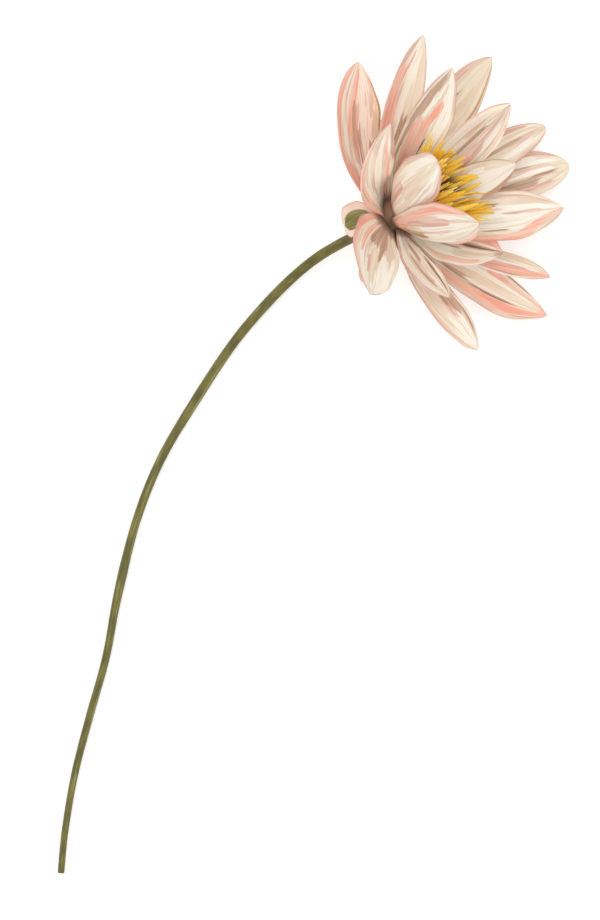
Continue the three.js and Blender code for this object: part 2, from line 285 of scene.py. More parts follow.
class Blade:
    def __init__(self, **facts):
        self.root_lean, self.tip_lean = facts["open"]
        self.length = facts["length"]
        self.width = facts["width"]
        self.cup = facts["cup"]
        self.sway = math.radians(facts.get("sway", 0))
        self.roll = math.radians(facts.get("roll", 0))
        self.widest = facts.get("widest", USUAL_WIDEST)
        self.point = facts.get("point", USUAL_POINT)
        self.claw = facts.get("root_width", ROOT_WIDTH) / self.width
        step = self.length / SPINE_STEPS
        self.spine = [Vector((0, 0, 0))]
        for i in range(SPINE_STEPS):
            self.spine.append(self.spine[-1] + self.forward((i + 0.5) / SPINE_STEPS) * step)
        self.rows = {}

    def forward(self, t):
        lean = math.radians(self.root_lean + (self.tip_lean - self.root_lean) * t ** OPENS_EARLY)
        turn = self.sway * t
        return Vector((
            math.sin(lean) * math.cos(turn),
            math.sin(lean) * math.sin(turn),
            math.cos(lean),
        ))

    def row(self, t):
        """Centre, side, inward, half width and curl of the cross row at t, kept for its points."""
        if t not in self.rows:
            i = min(int(t * SPINE_STEPS), SPINE_STEPS - 1)
            centre = self.spine[i].lerp(self.spine[i + 1], t * SPINE_STEPS - i)
            forward = self.forward(t)
            turn = self.sway * t
            side = Vector((-math.sin(turn), math.cos(turn), 0))
            side.rotate(Matrix.Rotation(self.roll * smooth(t, 0, ROLL_DONE_BY), 3, forward))
            shape = half_width(t, self.claw, self.widest, self.point)
            half = max(self.width / 2 * shape, TIP_HALF_WIDTH)
            fullness = FLAT_END_CURL + (1 - FLAT_END_CURL) * math.sin(math.pi * t)
            curl = max(self.cup * fullness, LEAST_CURL)
            self.rows[t] = centre, side, forward.cross(side), half, curl
        return self.rows[t]

    def point_at(self, q, t, widen=1.0, raised=0.0):
        """The point at q across, -1 to 1, and t along, 0 to 1, raised inward off the surface."""
        centre, side, inward, half, curl = self.row(t)
        half *= widen
        angle = curl * q
        point = centre + side * (half * math.sin(angle) / curl)
        point += inward * (half * (1 - math.cos(angle)) / curl)
        return point + (inward * math.cos(angle) - side * math.sin(angle)) * raised


test_blade = Blade(**RINGS["outer"]["blades"][0])
print("a test blade's tip:", test_blade.point_at(0, 1))

# %% [markdown]
# ## Where the colours lie
#
# A lily's petals are cream with salmon along one margin or both, and a fine rose line round the
# edge. Brown is painted shade where they narrow to the root, fold or overlap, dark lines are
# painted shadow, and the palest strokes are partly painted highlight. No two are alike, so each
# has its own short list of brush bands. A band runs from root to tip: its place across at the root
# and at the tip, its half width, and where along the petal it starts and ends. -1 and 1 are the
# petal's two edges.

# %% The brush bands
COLOURS = ("beige", "pale", "rose", "salmon", "brown", "ochre", "dark")
BANDS = {
    "petal_outer_1": dict(
        salmon=[(0.85, 0.8, 0.34, 0, 1), (0.1, -0.25, 0.11, 0.5, 0.97),
                (0.5, 0.55, 0.4, 0, 0.36)],
        rose=[(1, 0.97, 0.1, 0.82, 1), (-0.1, -0.3, 0.14, 0.3, 0.72)],
        pale=[(0.32, 0.06, 0.14, 0.35, 0.97), (-0.5, -0.5, 0.3, 0.3, 0.97)],
        brown=[(-0.85, -0.85, 0.26, 0.25, 0.46), (-0.4, -0.3, 0.08, 0.15, 0.55),
               (-0.12, -0.22, 0.05, 0.45, 0.74)],
        ochre=[(-0.99, -0.99, 0.06, 0.5, 0.92)],
    ),
    "petal_outer_5": dict(
        salmon=[(0.05, 0.65, 0.56, -0.2, 0.8), (0.5, -0.15, 0.08, 0.6, 0.92)],
        rose=[(1, 0.62, 0.34, 0.74, 1), (1, 1, 0.12, 0.3, 0.8)],
        pale=[(-0.3, -0.2, 0.14, 0.5, 0.97), (-0.5, -0.45, 0.08, 0.45, 0.9),
              (0.1, 0.05, 0.08, 0.65, 0.97)],
        beige=[(-0.85, -0.85, 0.22, 0.45, 1)],
        brown=[(-0.6, -0.55, 0.2, 0.3, 0.54)],
    ),
    "petal_third_1": dict(
        brown=[(1.12, -0.05, 0.19, 0.3, 0.7), (1.32, -0.1, 0.34, 0.6, 0.98)],
        rose=[(1, 0.8, 0.25, 0.82, 1), (1, 1, 0.08, 0.4, 0.9)],
        salmon=[(0.05, -0.1, 0.42, -0.2, 0.6), (0.6, -0.9, 0.17, 0.42, 0.76)],
        pale=[(1.12, -0.62, 0.1, 0.4, 0.97), (-0.62, -0.7, 0.16, 0.35, 1)],
        dark=[(-0.4, -0.5, 0.035, 0.3, 0.46)],
    ),
    "petal_second_6": dict(
        beige=[(0, 0, 1.5, -0.2, 1.2)],
        rose=[(0.72, 0.78, 0.17, 0.5, 1), (-1, -1, 0.07, 0.4, 1)],
        ochre=[(-0.85, -0.85, 0.05, 0.5, 0.97)],
        brown=[(0.3, 0.1, 0.07, 0.5, 0.75)],
    ),
    "petal_third_5": dict(
        pale=[(0.45, 0.4, 0.6, 0.1, 1), (0.75, 0.72, 0.2, 0.5, 0.9), (-0.5, -0.4, 0.3, 0.4, 1)],
        rose=[(0.98, 0.97, 0.1, 0.72, 1)],
        brown=[(-0.1, -0.05, 0.06, 0.5, 0.9)],
    ),
    "petal_inner_4": dict(
        rose=[(-0.6, -0.4, 0.4, 0.3, 0.7), (-0.3, -0.25, 0.12, 0.55, 0.92)],
        salmon=[(-0.5, -0.5, 0.16, 0.3, 0.6)],
        pale=[(-0.45, -0.2, 0.14, 0.7, 1), (-0.8, -0.8, 0.14, 0.6, 0.95)],
        brown=[(0.65, 0.5, 0.25, 0.2, 0.82)],
    ),
    "petal_third_4": dict(
        beige=[(0.3, 0.3, 0.4, 0.7, 1)],
        rose=[(0.75, 0.8, 0.16, 0.68, 0.92), (0, 0.1, 0.16, 0.75, 0.96)],
        salmon=[(-0.96, -0.96, 0.1, 0.68, 1)],
        pale=[(0.5, 0.4, 0.14, 0.72, 0.97), (-0.5, -0.4, 0.18, 0.6, 0.95)],
        brown=[(0.2, 0.15, 0.1, 0.5, 0.86), (0.99, 0.99, 0.05, 0.75, 1),
               (-0.25, -0.1, 0.05, 0.7, 0.9)],
    ),
    "petal_second_5": dict(
        rose=[(0.88, 0.88, 0.07, 0.55, 0.97), (0.3, 0.25, 0.06, 0.7, 0.9),
              (-0.65, -0.6, 0.16, 0.68, 0.9)],
        beige=[(-0.95, -0.9, 0.22, 0.5, 1.2), (0, 0, 1.4, 0.93, 1.2)],
        pale=[(0.6, 0.55, 0.14, 0.68, 0.96), (0.1, 0.1, 0.09, 0.7, 0.92)],
        brown=[(-0.05, -0.1, 0.1, 0.74, 0.94), (-0.35, -0.3, 0.24, 0.4, 0.82),
               (0.5, 0.35, 0.05, 0.6, 0.8)],
    ),
    "petal_inner_3": dict(
        pale=[(0, 0, 0.6, 0.3, 0.97)],
        beige=[(0.65, 0.55, 0.28, 0.72, 1.1)],
        ochre=[(1, 1, 0.08, 0.4, 1), (-0.75, -0.8, 0.05, 0.6, 0.9)],
        brown=[(-0.93, -0.9, 0.12, 0.6, 0.95)],
    ),
    "petal_inner_2": dict(
        salmon=[(-0.95, -0.85, 0.2, 0.3, 0.78), (-2.3, -0.15, 0.24, 0.68, 1.1)],
        beige=[(-0.96, -0.96, 0.1, 0.78, 1.1), (0.9, 0.9, 0.14, 0.6, 1)],
        rose=[(0.82, 0.76, 0.07, 0.55, 0.95), (0.15, 0.15, 0.05, 0.6, 0.85)],
        ochre=[(0.5, 0.45, 0.1, 0.35, 0.58), (-0.5, -0.5, 0.05, 0.45, 0.66)],
        pale=[(0.45, 0.35, 0.2, 0.6, 0.97), (-0.15, -0.15, 0.25, 0.4, 0.95),
              (-0.6, -0.4, 0.08, 0.5, 0.85)],
        brown=[(0.97, 0.97, 0.05, 0.55, 0.76)],
    ),
    "petal_third_2": dict(
        salmon=[(-0.45, -0.95, 0.2, 0.1, 0.9), (0.88, 0.9, 0.14, 0.4, 0.95),
                (-0.1, -0.2, 0.9, -0.1, 0.22)],
        rose=[(-1, -1, 0.08, 0.1, 1), (-0.3, -0.25, 0.16, 0.2, 0.72), (0.1, 0.1, 0.06, 0.3, 0.7)],
        pale=[(-0.5, -0.58, 0.05, 0.2, 0.85), (0.3, 0.25, 0.16, 0.38, 0.97),
              (0, -0.05, 0.08, 0.4, 0.9), (0.62, 0.58, 0.1, 0.4, 0.92)],
        ochre=[(0.35, 0.35, 0.1, 0.12, 0.42)],
        brown=[(0.3, 0.3, 0.32, 0.04, 0.4), (0.95, 0.92, 0.08, 0.1, 0.4)],
    ),
    "petal_inner_1": dict(
        rose=[(0.93, 0.92, 0.12, 0.1, 1), (-0.95, -0.93, 0.1, 0.3, 1),
              (-0.3, -0.15, 0.22, 0, 0.45), (0, 0, 1.4, 0.98, 1.2)],
        beige=[(0.1, 0.1, 0.25, 0.35, 0.9)],
        pale=[(-0.5, -0.5, 0.2, 0.4, 0.95), (0.55, 0.5, 0.12, 0.3, 0.95),
              (-0.1, -0.05, 0.07, 0.4, 0.95)],
    ),
    "petal_second_1": dict(
        salmon=[(-1, -0.45, 0.08, 0.2, 0.9), (0.45, 0.4, 0.1, -0.1, 0.6),
                (0.95, 0.9, 0.2, 0, 0.9)],
        brown=[(-1.05, -0.98, 0.2, 0.55, 0.98)],
        rose=[(0.65, 0.6, 0.1, 0.2, 0.9)],
        pale=[(-0.45, -0.35, 0.14, 0.15, 0.92), (0.1, 0.05, 0.12, 0.1, 0.95),
              (-0.75, -0.7, 0.07, 0.1, 0.6)],
    ),
    "petal_second_2": dict(
        rose=[(-1, -1, 0.24, 0.05, 1), (0.1, 0.05, 0.06, 0.4, 0.7)],
        salmon=[(-0.8, -0.75, 0.13, 0.05, 1), (-0.36, -0.3, 0.1, 0, 0.5)],
        pale=[(-0.4, -0.3, 0.16, 0.3, 0.97), (0.7, 0.66, 0.25, 0.3, 1),
              (0.05, 0, 0.1, 0.45, 0.9)],
        beige=[(0.2, 0.2, 0.14, 0.3, 0.8)],
        brown=[(0.15, 0.15, 0.45, -0.1, 0.28), (0.4, 0.34, 0.07, 0.2, 0.44)],
    ),
    "petal_second_3": dict(
        rose=[(-0.92, -0.88, 0.2, 0.1, 0.9), (0.2, 0.25, 0.08, 0.4, 0.75)],
        pale=[(-0.5, -0.4, 0.28, 0.3, 0.97), (0.35, 0.42, 0.1, 0.58, 0.96)],
        brown=[(0.38, 0.42, 0.13, 0.12, 0.42), (0.03, 0.13, 0.08, 0.3, 0.8),
               (0.75, 0.72, 0.1, 0.38, 0.92)],
        dark=[(0.95, 0.92, 0.05, 0.25, 0.52), (0.66, 0.72, 0.04, 0.42, 0.92)],
    ),
    "petal_outer_2": dict(
        salmon=[(-0.6, -0.6, 0.07, 0.5, 0.95)],
        rose=[(-0.92, -0.92, 0.16, 0.3, 1), (0.3, 0.5, 0.16, 0.42, 0.72)],
        beige=[(-0.3, -0.3, 0.3, 0.3, 0.8)],
        brown=[(0.72, 0.7, 0.2, 0.4, 0.7), (0.86, 0.86, 0.07, 0.6, 0.9),
               (0.4, 0.5, 0.1, 0.42, 0.64)],
        pale=[(0, 0, 0.7, 0.1, 0.5), (-0.3, -0.25, 0.26, 0.62, 0.97), (0.25, 0.15, 0.14, 0.74, 1),
              (0.6, 0.6, 0.08, 0.74, 0.95)],
    ),
    "petal_outer_3": dict(
        salmon=[(-0.5, -0.45, 0.27, 0.12, 1), (0.86, 0.62, 0.1, 0.6, 1), (0, 0, 1, 0.94, 1.2)],
        dark=[(-0.2, -0.2, 0.045, 0.56, 0.8)],
        brown=[(-0.15, -0.15, 0.06, 0.5, 0.82), (0.05, -0.05, 0.12, 0.3, 0.5),
               (0.99, 0.96, 0.07, 0.64, 0.9)],
        rose=[(-0.85, -0.85, 0.12, 0.58, 1)],
        beige=[(-0.97, -0.97, 0.08, 0.45, 0.95), (0.3, 0.2, 0.2, 0.5, 0.95)],
        pale=[(0.1, 0.05, 0.1, 0.48, 0.9), (0.5, 0.45, 0.1, 0.3, 0.92),
              (-0.32, -0.3, 0.04, 0.3, 0.55)],
    ),
    "petal_second_4": dict(
        salmon=[(0.1, 0.1, 0.18, 0.5, 1), (-0.3, -0.2, 0.3, 0.5, 1.1), (0, 0, 0.8, 0.93, 1.2)],
        brown=[(0.3, 0.3, 0.45, 0, 0.5), (-0.6, -0.5, 0.2, 0.5, 0.8)],
        pale=[(0.45, 0.42, 0.12, 0.58, 0.97)],
        beige=[(0.8, 0.8, 0.2, 0.5, 1.1)],
        rose=[(0.3, 0.3, 0.08, 0.5, 0.85)],
    ),
    "petal_third_3": dict(
        salmon=[(0.7, 0.7, 0.4, 0.35, 0.97), (-0.76, -0.76, 0.13, 0.25, 0.8)],
        dark=[(0.1, 0.05, 0.05, 0.6, 1)],
        brown=[(0.13, 0.1, 0.08, 0.5, 0.98), (-0.4, -0.4, 0.7, 0.92, 1.2),
               (-0.12, -0.15, 0.04, 0.3, 0.6)],
        pale=[(-0.2, -0.2, 0.2, 0.2, 0.88), (-0.5, -0.5, 0.14, 0.2, 0.85)],
        beige=[(-0.35, -0.35, 0.2, 0.5, 0.9)],
    ),
}
print("painted petals:", len(BANDS))

# %% [markdown]
# ## Painted shade washes, painted glow and shaded roots
#
# Three broad effects of painted light lie over the bands. A thin brown wash of painted shade
# deepens the petals that stand round the stamens, which face the light more. A few petals glow a
# little, a painted light that lifts their shaded parts. And nearly every petal is painted brown at
# its root as shade, where little light comes.

# %% Painted shade washes, painted glow and shaded roots
SHADE_WASHES = {
    "petal_third_2": 0.16, "petal_inner_4": 0.2, "petal_inner_3": 0.18, "petal_inner_1": 0.08,
    "petal_third_4": 0.12, "petal_second_6": 0.07, "petal_second_3": 0.08,
}
# Petals with a painted glow, a light of their own that lifts their shaded parts.
GLOWING_PETALS = {
    "petal_third_5": 0.18, "petal_outer_1": 0.05, "petal_outer_5": 0.06, "petal_second_4": 0.05,
    "petal_second_1": 0.05, "petal_outer_2": 0.06, "petal_third_3": 0.06,
}
ROOT_SHADE = (0.0, 0.0, 1.6, -0.3, 0.09)
BRIGHT_TO_THE_ROOT = ("petal_second_1", "petal_inner_1")
print("washed petals:", len(SHADE_WASHES), "- light through:", len(GLOWING_PETALS))

# %% [markdown]
# ## From bands to masks
#
# A band becomes a soft number from 0 to 1 at every place on the petal: how far inside the band it
# is, across and along. Each colour's mask is the strongest of its bands there. The seven masks are
# stored in the mesh, and the material breaks them up into strokes.

# %% From bands to masks
BAND_CORE = 0.5
BAND_RIM = 1.3
BAND_ENDS = 0.09


def band_value(q, t, band):
    at_root, at_tip, reach, starts, ends = band
    off = abs(q - (at_root + (at_tip - at_root) * t))
    across = 1 - smooth(off, reach * BAND_CORE, reach * BAND_RIM)
    along = smooth(t, starts - BAND_ENDS, starts + BAND_ENDS)
    along *= 1 - smooth(t, ends - BAND_ENDS, ends + BAND_ENDS)
    return across * along


def mask_value(name, colour, q, t):
    bands = BANDS.get(name, {}).get(colour, [])
    if colour == "brown" and name not in BRIGHT_TO_THE_ROOT:
        bands = bands + [ROOT_SHADE]
    return max((band_value(q, t, band) for band in bands), default=0.0)


print("salmon near an edge:", round(mask_value("petal_outer_1", "salmon", 0.9, 0.5), 2))

# %% [markdown]
# ## The petal's relief
#
# A petal isn't a plain sheet. Lengthwise grooves lie over its veins, a crease follows its midrib,
# its margins ripple and wander, and the whole of it swells here and there. All of this is told as a
# height off the plain blade and a share of its width. Both fade out at the root, where petals
# stand close, and at the tip, which keeps to its place. Each petal has a mark, a number of its own,
# that sets it far from the others in the noise, so that no two ripple alike.

# %% The petal's relief
VEIN_SPACING = 1.7
VEIN_DEPTH = 0.07
CREASE_REACH = 1.1
CREASE_DEPTH = 0.45
RIPPLE = 1.5
RIPPLE_NOISE = (3.4, 5.1, 3.7)
SWELL = 0.5
SWELL_NOISE = (0.8, 2.2, 9.1)
SWELL_ASIDE = 40
EDGE_WANDERS = 0.06
EDGE_NOISE = (6.0, 11.3, 2.9)
EVEN_ROOT = 0.25
EVEN_TIP = 0.9


def uneven(t):
    """1 along most of the blade, and fading to 0 at its root and tip."""
    return smooth(t, 0, EVEN_ROOT) * (1 - smooth(t, EVEN_TIP, 1))


def petal_noise(scales, x, y, mark, aside=0):
    return noise.noise(Vector((x * scales[0], y * scales[1], mark * scales[2] + aside)))


def relief(blade, q, t, mark):
    """How far the surface stands off the plain blade here, in mm, towards the head's axis."""
    half = blade.width / 2
    margin = 1 if q > 0 else -1
    veins = VEIN_DEPTH * math.cos(2 * math.pi * q * half / VEIN_SPACING)
    crease = -CREASE_DEPTH * math.exp(-((q * half / CREASE_REACH) ** 2)) * math.sin(math.pi * t)
    ripple = RIPPLE * petal_noise(RIPPLE_NOISE, t, margin, mark) * abs(q) ** 3
    swell = SWELL * petal_noise(SWELL_NOISE, q, t, mark, SWELL_ASIDE)
    return uneven(t) * (veins + crease + ripple + swell)


def outline(q, t, mark):
    """The margin's slight wander in and out, as a share of the half width."""
    margin = 1 if q > 0 else -1
    return 1 + EDGE_WANDERS * petal_noise(EDGE_NOISE, t, margin, mark) * uneven(t)


print("a test blade's crease:", round(relief(test_blade, 0, 0.5, 1), 2), "mm")

# %% [markdown]
# ## A wall for a thin sheet
#
# A petal is fleshy in the middle and thin at its edge. A Solidify modifier gives a sheet its wall,
# half of it on each side, and a vertex group tells it where the wall is full and where it is thin.
# The helper before it makes an object of any bmesh, and every piece from here on goes through it.

# %% A wall for a thin sheet
WALL = 0.8
EDGE_WALL_SHARE = 0.35
FLESHY_FROM = 4


def finished(name, bm, materials):
    """Turns a bmesh into a smooth-shaded object at the origin."""
    mesh = bpy.data.meshes.new(name)
    bm.to_mesh(mesh)
    bm.free()
    for material in materials:
        mesh.materials.append(material)
    mesh.shade_smooth()
    piece = bpy.data.objects.new(name, mesh)
    bpy.context.scene.collection.objects.link(piece)
    return piece


def give_wall(piece, wall, edge_share, back_slot=0):
    """Gives a sheet its wall. Its back and rim take the material back_slot places further on."""
    group = piece.vertex_groups.new(name="fleshy")
    for i, share in enumerate(piece.data.attributes["fleshy_share"].data):
        group.add([i], share.value, "REPLACE")
    solid = piece.modifiers.new("wall", "SOLIDIFY")
    solid.thickness = wall * MM
    solid.offset = 0
    solid.vertex_group = group.name
    solid.thickness_vertex_group = edge_share
    solid.material_offset = back_slot
    solid.material_offset_rim = back_slot


print("a petal's wall:", round(WALL * EDGE_WALL_SHARE, 2), "mm at its margin, then", WALL)

# %% [markdown]
# ## Making a blade
#
# create_grid gives a flat sheet of quads with every point at a known place across and along. Each
# point notes down what the finish will ask about its place, and is then moved to the same place on
# the blade, with the relief on it. Points that would dip into the table are raised on to it.

# %% Making a blade
COLUMNS = 56
ROWS = 100
GLOW_FROM = (0.1, 0.4)
TABLE_CLEAR = 0.00002
LOW_WALL_SHARE = 0.4
LOWEST = WALL / 2 * MM * LOW_WALL_SHARE + TABLE_CLEAR


def make_blade(name, node, blade, carried, materials, mark, back_slot=0):
    bm = bmesh.new()
    bmesh.ops.create_grid(bm, x_segments=COLUMNS, y_segments=ROWS, size=1)
    stroke = bm.verts.layers.float_vector.new("stroke")
    to_edge = bm.verts.layers.float.new("to_edge")
    fleshy = bm.verts.layers.float.new("fleshy_share")
    wash = bm.verts.layers.float.new("wash")
    shine = bm.verts.layers.float.new("shine")
    masks = {colour: bm.verts.layers.float.new(colour) for colour in COLOURS}
    for v in bm.verts:
        q = v.co.x
        t = (v.co.y + 1) / 2
        half = blade.row(t)[3]
        v[stroke] = Vector((q * blade.width / 2, t * blade.length, mark))
        v[to_edge] = (1 - abs(q)) * half
        v[fleshy] = smooth(v[to_edge], 0, FLESHY_FROM)
        # Each petal's painted shade wash and painted glow.
        v[wash] = SHADE_WASHES.get(node, 0.0)
        v[shine] = GLOWING_PETALS.get(node, 0.0) * smooth(t, *GLOW_FROM)
        for colour, layer in masks.items():
            v[layer] = mask_value(node, colour, q, t)
        v.co = blade.point_at(q, t, outline(q, t, mark), relief(blade, q, t, mark))
    bmesh.ops.transform(bm, matrix=carried, verts=bm.verts)
    for v in bm.verts:
        v.co.z = max(v.co.z, LOWEST)
    piece = finished(name, bm, materials)
    give_wall(piece, WALL, EDGE_WALL_SHARE, back_slot)
    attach(piece, "root")
    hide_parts(node)
    return piece


print("a blade's sheet:", COLUMNS, "x", ROWS, "quads, at least", round(LOWEST / MM, 2), "mm up")

# %% [markdown]
# ## Small words for shader nodes
#
# A finish is easier to read as a recipe than as a row of node calls, so a Finish keeps one
# material and offers the few things the recipes need: an attribute, a noise stretched along the
# petal, a soft threshold, a mix of two colours.

# %% Shader helpers
GLOW_RADIUS = (1.0, 0.6, 0.4)
GLOW_SCALE = 0.002
MIX_A = 6
MIX_B = 7
MIX_RESULT = 2


class Finish:
    def __init__(self, name, roughness, gloss, glow_through=0.0):
        self.material = bpy.data.materials.new(name)
        self.material.use_nodes = True
        self.tree = self.material.node_tree
        self.shader = self.tree.nodes["Principled BSDF"]
        self.shader.inputs["Roughness"].default_value = roughness
        self.shader.inputs["Specular IOR Level"].default_value = gloss
        self.shader.inputs["Subsurface Weight"].default_value = glow_through
        self.shader.inputs["Subsurface Radius"].default_value = GLOW_RADIUS
        self.shader.inputs["Subsurface Scale"].default_value = GLOW_SCALE

    def feed(self, socket, value):
        if isinstance(value, bpy.types.NodeSocket):
            self.tree.links.new(value, socket)
        else:
            socket.default_value = value

    def attribute(self, name, vector=False):
        node = self.tree.nodes.new("ShaderNodeAttribute")
        node.attribute_name = name
        return node.outputs["Vector" if vector else "Fac"]

    def math(self, operation, a, b=0.0):
        node = self.tree.nodes.new("ShaderNodeMath")
        node.operation = operation
        self.feed(node.inputs[0], a)
        self.feed(node.inputs[1], b)
        return node.outputs[0]

    def parts(self, vector):
        """The three numbers of a vector."""
        node = self.tree.nodes.new("ShaderNodeSeparateXYZ")
        self.feed(node.inputs[0], vector)
        return [node.outputs[axis] for axis in "XYZ"]

    def stretched(self, vector, x, y, z):
        """The vector with each axis scaled, for a pattern longer one way than the other."""
        node = self.tree.nodes.new("ShaderNodeMapping")
        node.inputs["Scale"].default_value = (x, y, z)
        self.feed(node.inputs["Vector"], vector)
        return node.outputs["Vector"]

    def noise(self, vector, detail, twist=0.0):
        node = self.tree.nodes.new("ShaderNodeTexNoise")
        node.inputs["Scale"].default_value = 1.0
        node.inputs["Detail"].default_value = detail
        node.inputs["Distortion"].default_value = twist
        self.feed(node.inputs["Vector"], vector)
        return node.outputs["Fac"]

    def streaks(self, place, width, length, apart, detail, twist=0.0):
        """Noise in streaks about this wide and long, in mm, with the marks this far apart in it."""
        return self.noise(self.stretched(place, 1 / width, 1 / length, apart), detail, twist)

    def soft(self, value, low, high, least=0.0, most=1.0):
        """least below low, most above high, and a soft S between them."""
        node = self.tree.nodes.new("ShaderNodeMapRange")
        node.interpolation_type = "SMOOTHSTEP"
        self.feed(node.inputs["Value"], value)
        self.feed(node.inputs["From Min"], low)
        self.feed(node.inputs["From Max"], high)
        self.feed(node.inputs["To Min"], least)
        self.feed(node.inputs["To Max"], most)
        return node.outputs["Result"]

    def mix(self, share, a, b):
        node = self.tree.nodes.new("ShaderNodeMix")
        node.data_type = "RGBA"
        self.feed(node.inputs["Factor"], share)
        self.feed(node.inputs[MIX_A], a)
        self.feed(node.inputs[MIX_B], b)
        return node.outputs[MIX_RESULT]

    def finish(self, colour, height, depth, strength):
        """The material, with this colour and fine relief of this depth in metres."""
        bump = self.tree.nodes.new("ShaderNodeBump")
        bump.inputs["Strength"].default_value = strength
        bump.inputs["Distance"].default_value = depth
        self.feed(bump.inputs["Height"], height)
        self.feed(self.shader.inputs["Normal"], bump.outputs["Normal"])
        self.feed(self.shader.inputs["Base Color"], colour)
        return self.material


print("finish helpers:", [name for name in vars(Finish) if not name.startswith("_")])

# %% [markdown]
# ## The petal's colours
#
# Petals are white only at a glance. Their cream is warm in one place and grey in another, and the
# strokes on it are rose, salmon, beige and brown, each in a full and a lighter tint. The brown, the
# dark lines and the dark at the root are painted shade, and the palest strokes are partly painted
# highlight. The names say what each is for, so that the finish below reads like a list of paints. A
# colour's usual six digits are made for screens, and shader nodes count in linear light, so a
# helper converts them.

# %% The petal's colours
def rgb(code):
    """A colour as shader nodes want it, from its usual six hex digits."""
    parts = [int(code[i:i + 2], 16) / 255 for i in (0, 2, 4)]
    return [p / 12.92 if p <= 0.04045 else ((p + 0.055) / 1.055) ** 2.4 for p in parts] + [1]


CREAM = rgb("EDE1CD")
WARM_GREY = rgb("DFCFB9")
# Pale streaks, partly the petal's own and partly painted highlight.
PALE_HIGHLIGHT = rgb("F8F2E6")
BLUSH = rgb("E9CBBE")
BEIGE = rgb("E2CFB4")
ROSE = rgb("D7A699")
SALMON = rgb("F2A892")
LIGHT_SALMON = rgb("F6CAB8")
# Brown for painted shade: in folds, between petals, at roots and in the shade wash.
SHADE_BROWN = rgb("AD8870")
LIGHT_BROWN = rgb("C6A68E")
OCHRE_LINE = rgb("B98C4A")
# Dark lines of painted shadow along folds and under overlapping petals.
SHADOW_LINE = rgb("6A4C3B")
# Painted shade at the root, where little light comes.
ROOT_SHADOW = rgb("5E4334")
MARGIN_ROSE = rgb("CE958B")
print("cream as linear light:", [round(part, 2) for part in CREAM])

# %% [markdown]
# ## Petal skin
#
# The finish reads the stroke attribute, which is the place across and along the petal in
# millimetres, so strokes are as wide on a small petal as on a large one. Noise stretched along the
# petal gives brush-like streaks: broad ones of paler cream, partly painted highlight, and finer
# ones of blush and brown. The masks made with the mesh decide where each colour goes, and the same
# streaks fray their borders; the brown and dark masks are painted shade. Then come the thin rose
# line at the margin, the painted shade at the root, the painted shade wash and the painted glow of
# a few petals.

